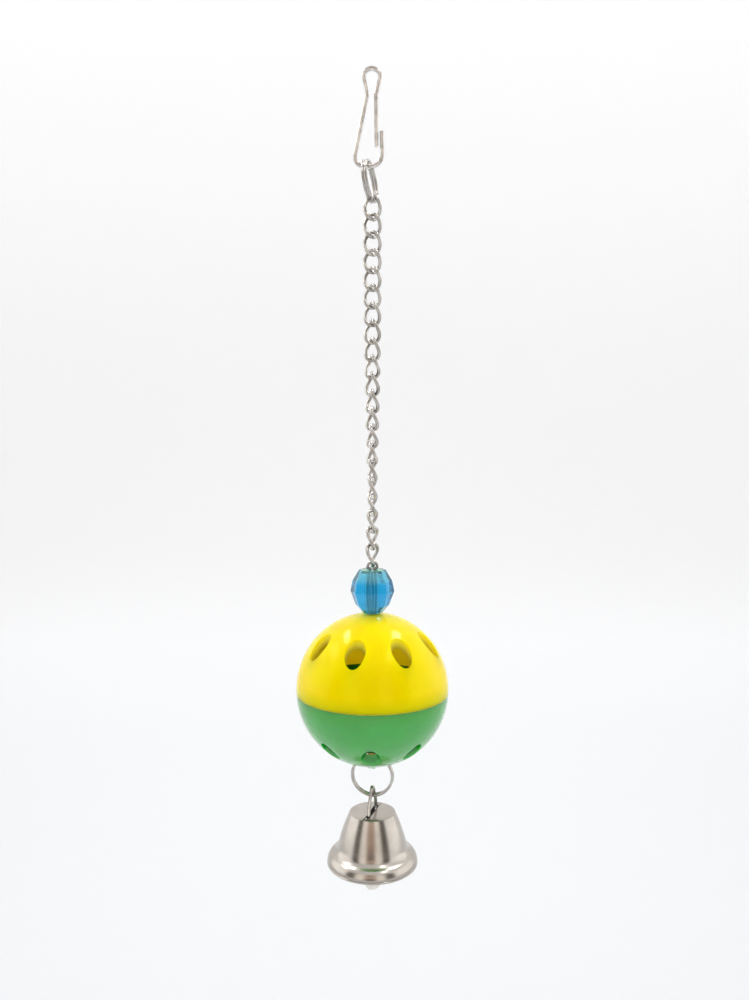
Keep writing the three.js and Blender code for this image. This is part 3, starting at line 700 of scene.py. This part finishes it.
# %% The tree that cuts a ring of holes
holes_tree, given = new_geometry_tree("ring_of_holes", [
    ("Holes", "NodeSocketInt"), ("Hole radius", "NodeSocketFloat"),
    ("Circle radius", "NodeSocketFloat"), ("First yaw", "NodeSocketFloat"),
    ("Height", "NodeSocketFloat"), ("Drill length", "NodeSocketFloat")])
drill_bit = add_node(holes_tree, "GeometryNodeMeshCylinder", inputs={
    "Vertices": 64, "Radius": given["Hole radius"], "Depth": given["Drill length"]})
hole_number = add_node(holes_tree, "GeometryNodeInputIndex").outputs["Index"]
hole_step = calculated(holes_tree, "DIVIDE", math.tau, given["Holes"])
hole_turn = calculated(holes_tree, "MULTIPLY", hole_number, hole_step)
hole_yaw = calculated(holes_tree, "ADD", hole_turn, given["First yaw"])
sideways = calculated(holes_tree, "SINE", hole_yaw)
forwards = calculated(holes_tree, "COSINE", hole_yaw)
hole_x = calculated(holes_tree, "MULTIPLY", sideways, given["Circle radius"])
hole_forward = calculated(holes_tree, "MULTIPLY", forwards, given["Circle radius"])
hole_y = calculated(holes_tree, "MULTIPLY", hole_forward, -1.0)
hole_spot = add_node(holes_tree, "ShaderNodeCombineXYZ", inputs={
    "X": hole_x, "Y": hole_y, "Z": given["Height"]})
hole_points = add_node(holes_tree, "GeometryNodePoints", inputs={
    "Count": given["Holes"], "Position": hole_spot.outputs["Vector"]})
drills = add_node(holes_tree, "GeometryNodeInstanceOnPoints", inputs={
    "Points": hole_points.outputs["Points"], "Instance": drill_bit.outputs["Mesh"]})
real_drills = add_node(holes_tree, "GeometryNodeRealizeInstances", inputs={
    "Geometry": drills.outputs["Instances"]})
cut = add_node(holes_tree, "GeometryNodeMeshBoolean", {"operation": "DIFFERENCE", "solver": "EXACT"}, {
    "Mesh 1": given["Geometry"], "Mesh 2": real_drills.outputs["Geometry"]})
finish_tree(holes_tree, given, cut.outputs["Mesh"])

# %% The outlines of the two half shells
SEAM_HEIGHT = -1
SEAM_GAP = 0.02
SHELL_SEGMENTS = 192
LIP_TOP = 2.3
LIP_GAP = 0.4
LIP_WALL = 0.8
PIN_HOLE_RADIUS = 1.5

def arc(radius, from_height, to_radius, side, steps=44):
    start = math.asin(from_height / radius)
    end = side * math.acos(to_radius / radius)
    angles = [start + (end - start) * i / steps for i in range(steps + 1)]
    return [(radius * math.cos(angle), radius * math.sin(angle)) for angle in angles]

lip_outside = BALL_INSIDE - LIP_GAP
lip_inside = lip_outside - LIP_WALL
lip_foot = SEAM_HEIGHT - 1
upper_edge = SEAM_HEIGHT + SEAM_GAP
upper_outline = (arc(BALL_RADIUS, upper_edge, PIN_HOLE_RADIUS, 1)
                 + list(reversed(arc(BALL_INSIDE, upper_edge, PIN_HOLE_RADIUS, 1))))
lower_outline = (list(reversed(arc(BALL_RADIUS, SEAM_HEIGHT, 0, -1)))
                 + [(lip_outside, SEAM_HEIGHT), (lip_outside, LIP_TOP), (lip_inside, LIP_TOP),
                    (lip_inside, lip_foot)]
                 + arc(BALL_INSIDE, lip_foot, 0, -1))

# %% [markdown]
# The lower shell also has a slot under it, with a moulded bar across, for the lower split ring.
# The bar is a short slice of a disc: round underneath and flat on top, where the ring sits.

# %% The slot and the bar
def prism(name, outline, low, high, place):
    count = len(outline)
    points = [(x, y, low) for x, y in outline] + [(x, y, high) for x, y in outline]
    faces = [tuple(reversed(range(count))), tuple(range(count, 2 * count))]
    for i in range(count):
        j = (i + 1) % count
        faces.append((i, j, count + j, count + i))
    made = mesh_object(name, points, faces, smooth=False)
    made.data.transform(place)
    return made

def round_ended(half_length, half_width, steps=20):
    outline = []
    for side, start in ((1, -90), (-1, 90)):
        for i in range(steps + 1):
            angle = math.radians(start + 180 * i / steps)
            outline.append((side * (half_length - half_width) + half_width * math.cos(angle),
                            half_width * math.sin(angle)))
    return outline

SLOT_HALF_LENGTH = 7
SLOT_HALF_WIDTH = 1.6
SLOT_TOP = -21
SLOT_FOOT = -29
BAR_HALF_LENGTH = 4.4
BAR_HALF_WIDTH = 1.1
BAR_TOP = -BALL_INSIDE - 0.9
BAR_FOOT = -BALL_RADIUS - 1.9
BAR_STEPS = 40
ring_turn = placed(0, LOWER_RING_YAW)
slot = prism("ring_slot", round_ended(SLOT_HALF_LENGTH, SLOT_HALF_WIDTH),
             ball_centre + SLOT_FOOT, ball_centre + SLOT_TOP, ring_turn)
bar_depth = BAR_TOP - BAR_FOOT
bar_radius = (BAR_HALF_LENGTH ** 2 + bar_depth ** 2) / (2 * bar_depth)
bar_half_turn = math.asin(BAR_HALF_LENGTH / bar_radius)
bar_outline = []
for i in range(BAR_STEPS + 1):
    angle = -math.pi / 2 - bar_half_turn + 2 * bar_half_turn * i / BAR_STEPS
    bar_outline.append((bar_radius * math.cos(angle),
                        BAR_FOOT + bar_radius + bar_radius * math.sin(angle)))
stand_up = Matrix(((0, 0, 1, 0), (1, 0, 0, 0), (0, 1, 0, ball_centre * MM), (0, 0, 0, 1)))
bar = prism("ring_bar", bar_outline, -BAR_HALF_WIDTH, BAR_HALF_WIDTH, ring_turn @ stand_up)

# %% [markdown]
# Every rim is softened a little, as a mould leaves it, but not at the seam, where the two halves
# meet in a hairline.

# %% Mark the rims to soften
SHARPEST_SMOOTH_ANGLE = math.radians(38)
SEAM_REACH = 0.3

def mark_soft_edges(mesh):
    def at_seam(edge):
        return all(abs(end.co.z / MM - ball_centre - SEAM_HEIGHT) < SEAM_REACH for end in edge.verts)
    edges = bmesh.new()
    edges.from_mesh(mesh)
    weight = edges.edges.layers.float.new("bevel_weight_edge")
    for edge in edges.edges:
        closed = len(edge.link_faces) == 2
        if closed and edge.calc_face_angle() > SHARPEST_SMOOTH_ANGLE and not at_seam(edge):
            edge[weight] = 1
    edges.to_mesh(mesh)
    edges.free()

# %% Cut and keep the half shells
HOLE_COUNT = 8
DRILL_HEIGHT = 15.7
DRILL_LENGTH = 25
RIM_EDGE = 0.16

def cut_shell(name, outline, hole, circle, first_yaw, side, material, extras=()):
    shell = turned(name + "_blank", outline, SHELL_SEGMENTS, ball_centre)
    with_tree(shell, holes_tree, {
        "Holes": HOLE_COUNT, "Hole radius": hole / 2 * MM, "Circle radius": circle / 2 * MM,
        "First yaw": math.radians(first_yaw), "Height": (ball_centre + side * DRILL_HEIGHT) * MM,
        "Drill length": DRILL_LENGTH * MM, "Material": material})
    for operation, tool in extras:
        add_boolean(shell, tool, operation)
    drilled = baked(shell, name + "_drilled")
    mark_soft_edges(drilled.data)
    soft_edge = drilled.modifiers.new("soft_edge", "BEVEL")
    soft_edge.width = RIM_EDGE * MM
    soft_edge.segments = 3
    soft_edge.limit_method = "WEIGHT"
    piece = shade(baked(drilled, name), 30)
    paint(piece, material)
    discard(shell, drilled)
    return piece

upper_shell = cut_shell("yellow_half_shell", upper_outline, hole=6.68, circle=37.24, first_yaw=-16.3,
                        side=1, material=yellow_plastic)
stands_for(upper_shell, "ball_upper_shell")
lower_shell = cut_shell("green_half_shell", lower_outline, hole=5.95, circle=36.2, first_yaw=-1.5,
                        side=-1, material=green_plastic,
                        extras=[("DIFFERENCE", slot), ("UNION", bar)])
stands_for(lower_shell, "ball_lower_shell")
discard(slot, bar)

# %% [markdown]
# ## The bell
# The bell is one drawn cup with a flat crown, a rounded waist and a flare that ends in a narrow
# rolled lip with a fine groove above it. Its wall is 0.8 mm thick. A slot in the crown lets the
# hanger through, and the hanger's feet are spread under the crown.

# %% Bell shell
BELL_WALL = 0.8
ROOF_CORNER_HEIGHT = -1.15
CONE_BULGE = 0.35
FLARE_BULGE = 1
WAIST_ROUNDING = 1.8
CROWN_SLOT_HALF_LENGTH = 5.3
CROWN_SLOT_HALF_WIDTH = 0.8
CROWN_CUT = 3
shoulder, waist, mouth = (7.75, -0.4), (11.85, -12.7), (15.1, -16.9)

def bulged(start, end, bulge, first, last, steps):
    run = Vector(end) - Vector(start)
    outward = Vector((-run.y, run.x)).normalized()
    shares = [first + (last - first) * i / steps for i in range(steps + 1)]
    return [tuple(Vector(start) + run * share + outward * 4 * bulge * share * (1 - share))
            for share in shares]

def rounded_corner(start, corner, end, steps=10):
    points = []
    for i in range(1, steps):
        share = i / steps
        points.append(tuple((1 - share) ** 2 * Vector(start) + 2 * share * (1 - share) * Vector(corner)
                            + share ** 2 * Vector(end)))
    return points

def moved_inward(profile):
    points = []
    for before, here, after in zip(profile, profile[1:], profile[2:]):
        along = (Vector(after) - Vector(before)).normalized()
        points.append(Vector(here) + Vector((along.y, -along.x)) * BELL_WALL)
    return [tuple(point) for point in points if point.y < ROOF_CORNER_HEIGHT]

cone_end = 1 - WAIST_ROUNDING / (Vector(waist) - Vector(shoulder)).length
flare_start = WAIST_ROUNDING / (Vector(mouth) - Vector(waist)).length
cone = bulged(shoulder, waist, CONE_BULGE, 0, cone_end, 14)
flare = bulged(waist, mouth, FLARE_BULGE, flare_start, 0.9, 16)
rolled_lip = [(15.07, -16.52), (14.92, -16.66), (15.08, -16.8), (15.1, -16.95), (15.0, -17.2),
              (14.75, -17.4)]
flank = [(7.3, 0), (7.6, -0.1)] + cone + rounded_corner(cone[-1], waist, flare[0]) + flare
inside = moved_inward(flank + rolled_lip[:1])
bell_outline = ([(0, 0)] + flank + rolled_lip + list(reversed(inside))
                + [(inside[0][0] - 0.4, -BELL_WALL), (0, -BELL_WALL)])
bell_blank = turned("bell_blank", bell_outline, 160, bell_top)
crown_slot = prism("crown_slot", round_ended(CROWN_SLOT_HALF_LENGTH, CROWN_SLOT_HALF_WIDTH),
                   bell_top - CROWN_CUT, bell_top + CROWN_CUT, placed(0, HANGER_YAW))
add_boolean(bell_blank, crown_slot)
bell = shade(baked(bell_blank, "nickel_bell"), 32)
paint(bell, bell_nickel, bell_lining_painted_shade)
discard(bell_blank, crown_slot)

# %% [markdown]
# Faces that look at the axis or straight down, and the walls of the slot, get the unpolished finish, whose
# dark colour is painted shade.

# %% Give the bell's inside its unpolished finish and painted shade
CROWN_REACH = 6 * MM
CROWN_FOOT = (bell_top - 0.75) * MM
for side in bell.data.polygons:
    outwardness = side.center.x * side.normal.x + side.center.y * side.normal.y
    is_upright = abs(side.normal.z) < 0.1
    in_slot = side.center.z > CROWN_FOOT and is_upright and outwardness < CROWN_REACH
    side.material_index = int(outwardness < 0 or side.normal.z < -0.7 or in_slot)
stands_for(bell, "bell_shell")

# %% Bell hanger
HANGER_RISE = 5.72
hanger_right = [(3.3, -2.2, 1.2), (4.1, -6.6, 0.6), (6.3, -7.5, 0.45), (5.2, -9.9, 1)]
hanger_corners = ([(0, 3.68, 0.9)] + hanger_right
                  + [(-x, z, radius) for x, z, radius in reversed(hanger_right)])
bell_pivot = bell_top + HANGER_RISE
hanger = wire_piece("bell_hanger_strip", bent_wire(hanger_corners, closed=True), closed=True,
                    thickness=0.7, width=1.1, edge=0.2, place=placed(bell_pivot, HANGER_YAW))
stands_for(hanger, "bell_hanger")

# %% [markdown]
# ## The clapper
# A thin rod ends in an eye that hangs on the hanger's base, and a small tumbled ball is pressed
# on its lower end. Only the ball shows below the lip, but the rest is there when the toy tips.

# %% Clapper rod and ball
CLAPPER_WIRE = 0.9
CLAPPER_DROP = 9.9
CLAPPER_EYE_RADIUS = 1.5
EYE_START_DEGREES = -60
EYE_TURN_DEGREES = 306
EYE_STEPS = 36
CLAPPER_LENGTH = 19.8
ROD_STOPS_SHORT = 0.15
CLAPPER_BALL_RADIUS = 2.85
CLAPPER_SOCKET_RADIUS = 0.79
CLAPPER_SOCKET_FLOOR = -0.15
BOB_STEPS = 32
eye_points = []
for i in range(EYE_STEPS + 1):
    angle = math.radians(EYE_START_DEGREES + EYE_TURN_DEGREES * i / EYE_STEPS)
    eye_points.append((CLAPPER_EYE_RADIUS * math.cos(angle), 0, CLAPPER_EYE_RADIUS * math.sin(angle)))
rod_points = eye_points + [(0, 0, -3.1), (0, 0, -10), (0, 0, ROD_STOPS_SHORT - CLAPPER_LENGTH)]
clapper_pivot = bell_pivot - CLAPPER_DROP
rod = wire_piece("clapper_wire", rod_points, thickness=CLAPPER_WIRE,
                 place=placed(clapper_pivot, HANGER_YAW + 90))
stands_for(rod, "clapper_rod")

bob_outline = [(0, -CLAPPER_BALL_RADIUS)]
socket_angle = math.acos(CLAPPER_SOCKET_RADIUS / CLAPPER_BALL_RADIUS)
for i in range(1, BOB_STEPS + 1):
    angle = -math.pi / 2 + (math.pi / 2 + socket_angle) * i / BOB_STEPS
    bob_outline.append((CLAPPER_BALL_RADIUS * math.cos(angle), CLAPPER_BALL_RADIUS * math.sin(angle)))
bob_outline += [(CLAPPER_SOCKET_RADIUS, CLAPPER_SOCKET_FLOOR), (0, CLAPPER_SOCKET_FLOOR)]
clapper_ball = shade(turned("clapper_bob", list(reversed(bob_outline)), 48,
                            clapper_pivot - CLAPPER_LENGTH), 60)
paint(clapper_ball, clapper_steel)
stands_for(clapper_ball, "clapper_ball")

# %% [markdown]
# ## Stage
# The toy hangs in front of a plain pale sweep: floor and backdrop are one sheet that curves up
# behind, so no horizon line shows. The sheet glows a little higher up, because the backdrop of the
# photograph was lit as evenly from behind as the floor was from above.

# %% Floor and backdrop
def stage_material():
    material, tree, shader, place = new_material(
        "pale_paper_sweep", Roughness=0.9, Emission_Color=colour("F4F8FF"))
    _, tone = mottled(tree, place, "F4F6F8", "F8FAFC", 400.0, first=0.0, second=1.0)
    spot = add_node(tree, "ShaderNodeSeparateXYZ", inputs={"Vector": place}).outputs
    near = remapped(tree, spot["Y"], 1.5, 0.3)
    tree.links.new(mixed(tree, near, tone, colour("D4D6D8")), shader.inputs["Base Color"])
    lift = remapped(tree, spot["Z"], -0.4, 1.1, 0.05, 0.27)
    tree.links.new(lift, shader.inputs["Emission Strength"])
    return material

SWEEP_FRONT = -2500
SWEEP_FOOT = 1200
SWEEP_BEND = 900
SWEEP_TOP = 3200
SWEEP_HALF_WIDTH = 3000
FLOOR_HEIGHT = -600

def sweep_section(steps=24):
    section = [(SWEEP_FRONT, FLOOR_HEIGHT)]
    for i in range(steps + 1):
        angle = math.pi / 2 * i / steps
        section.append((SWEEP_FOOT + SWEEP_BEND * math.sin(angle),
                        FLOOR_HEIGHT + SWEEP_BEND * (1 - math.cos(angle))))
    return section + [(SWEEP_FOOT + SWEEP_BEND, SWEEP_TOP)]

sheet_line = sweep_section()
sheet_points = [(x, y, z) for y, z in sheet_line for x in (-SWEEP_HALF_WIDTH, SWEEP_HALF_WIDTH)]
sheet_faces = [(2 * i, 2 * i + 1, 2 * i + 3, 2 * i + 2) for i in range(len(sheet_line) - 1)]
floor = mesh_object("floor", sheet_points, sheet_faces)
paint(floor, stage_material())

# %% [markdown]
# ## Light
# The photograph was lit by soft boxes in a white room. Polished nickel is only as lively as the
# room that it mirrors, so the world is painted by direction: broad bright panels left and right,
# a darker strip beside each, the dim doorway behind the camera with something dark high and low
# in it, and a pale ceiling. Bearings are in degrees, with 0 behind the camera and 90 to the
# right. Each mask is written as shares, of a full turn or of the rise from straight down to
# straight up.

# %% World
ROOM_BRIGHTNESS = 1.53
world = bpy.data.worlds.new("white_room")
bpy.context.scene.world = world
world.use_nodes = True
room = world.node_tree
room.nodes.clear()
look = add_node(room, "ShaderNodeSeparateXYZ", inputs={
    "Vector": add_node(room, "ShaderNodeTexCoord").outputs["Generated"]}).outputs
behind_camera = calculated(room, "MULTIPLY", look["Y"], -1.0)
bearing = calculated(room, "ARCTAN2", look["X"], behind_camera)
share_round = remapped(room, bearing, -math.pi, math.pi)
share_up = remapped(room, look["Z"], -1.0, 1.0)

def painted_ramp(value, stops):
    ramp = add_node(room, "ShaderNodeValToRGB", inputs={"Fac": value})
    for end, position, (_, hex_code) in zip(ramp.color_ramp.elements, (0, 1), (stops[0], stops[-1])):
        end.position = position
        end.color = colour(hex_code)
    for position, hex_code in stops:
        ramp.color_ramp.elements.new(position).color = colour(hex_code)
    return ramp.outputs["Color"]

def mask(value, *stops):
    return painted_ramp(value, [(position, "FFFFFF" if shown else "000000") for position, shown in stops])

GREY, PANEL, DARK, PALE, DOORWAY = "D2D1CF", "FFFFFF", "46423D", "F2EFEA", "B2998A"
bearings = [(-140, GREY), (-132, PANEL), (-70, PANEL), (-64, DARK), (-45, DARK), (-41, PALE),
            (-23, PALE), (-18, DOORWAY), (8, DOORWAY), (12, PALE), (30, PALE), (34, DARK),
            (55, DARK), (60, PANEL), (122, PANEL), (130, GREY)]
walls = painted_ramp(share_round, [((degrees + 180) / 360, tone) for degrees, tone in bearings])
in_doorway = mask(share_round, (0.45, False), (0.462, True), (0.51, True), (0.522, False))
low_and_high = mask(share_up, (0.4, False), (0.43, True), (0.53, True), (0.55, False),
                    (0.745, False), (0.755, True), (0.79, True), (0.8, False))
in_dark_patch = calculated(room, "MULTIPLY", in_doorway, low_and_high)
in_ceiling = mask(share_up, (0.74, False), (0.86, True))
with_ceiling = mixed(room, in_ceiling, walls, colour("CACACA"))
room_colour = mixed(room, in_dark_patch, with_ceiling, colour("1A1511"))
white_room = add_node(room, "ShaderNodeBackground", inputs={
    "Color": room_colour, "Strength": ROOM_BRIGHTNESS})
add_node(room, "ShaderNodeOutputWorld", inputs={"Surface": white_room.outputs["Background"]})

# %% [markdown]
# Each soft box hangs at one distance from the same point on the toy's axis, and is placed by its
# bearing and elevation. The fill beside the camera lifts the front and is not mirrored in it.

# %% Soft boxes
LAMP_DISTANCE = 0.91
LAMP_AIM = Vector((0, 0, -0.19))

def soft_box(name, bearing, elevation, roll, width, height, power, mirrored=True):
    turn = math.radians(bearing)
    rise = math.radians(elevation)
    away = Vector((math.cos(rise) * math.sin(turn), -math.cos(rise) * math.cos(turn), math.sin(rise)))
    lamp = bpy.data.lights.new(name, "AREA")
    lamp.shape = "RECTANGLE"
    lamp.size = width
    lamp.size_y = height
    lamp.energy = power
    box = new_object(name, lamp)
    box.location = LAMP_AIM + away * LAMP_DISTANCE
    facing = (-away).to_track_quat("-Z", "Y").to_matrix().to_4x4()
    box.rotation_euler = (facing @ Matrix.Rotation(math.radians(roll), 4, "Z")).to_euler()
    box.visible_camera = False
    box.visible_glossy = mirrored

soft_box("left_strip", -120, 57.6, 20.8, 0.38, 0.08, 1.9)
soft_box("left_sheet", -98, 43.4, -10, 0.39, 0.16, 0.7)
soft_box("right_box", 124.6, 58.7, -25.8, 0.26, 0.13, 2.6)
soft_box("right_strip", 46.8, 58.3, 52.8, 0.33, 0.05, 0.6)
soft_box("front_fill", 4, 6, 0, 0.7, 0.6, 1.4, mirrored=False)

# %% [markdown]
# ## Camera
# The lens and the place of the camera were worked out from the photograph: the ball is seen from
# slightly above, and the camera is only about 27 cm away, so the perspective is strong.

# %% Camera
CAMERA_PLACE = (0.0007, -0.26957, -0.11562)
CAMERA_DIP = 0.071
camera_data = bpy.data.cameras.new("camera")
camera_data.sensor_fit = "VERTICAL"
camera_data.sensor_height = 36
camera_data.lens = 29.98
camera_data.clip_start = 0.01
camera = new_object("camera", camera_data)
camera.location = CAMERA_PLACE
camera.rotation_euler = (math.pi / 2 - CAMERA_DIP, 0, 0)
bpy.context.scene.camera = camera
bpy.context.scene.view_settings.view_transform = "Standard"
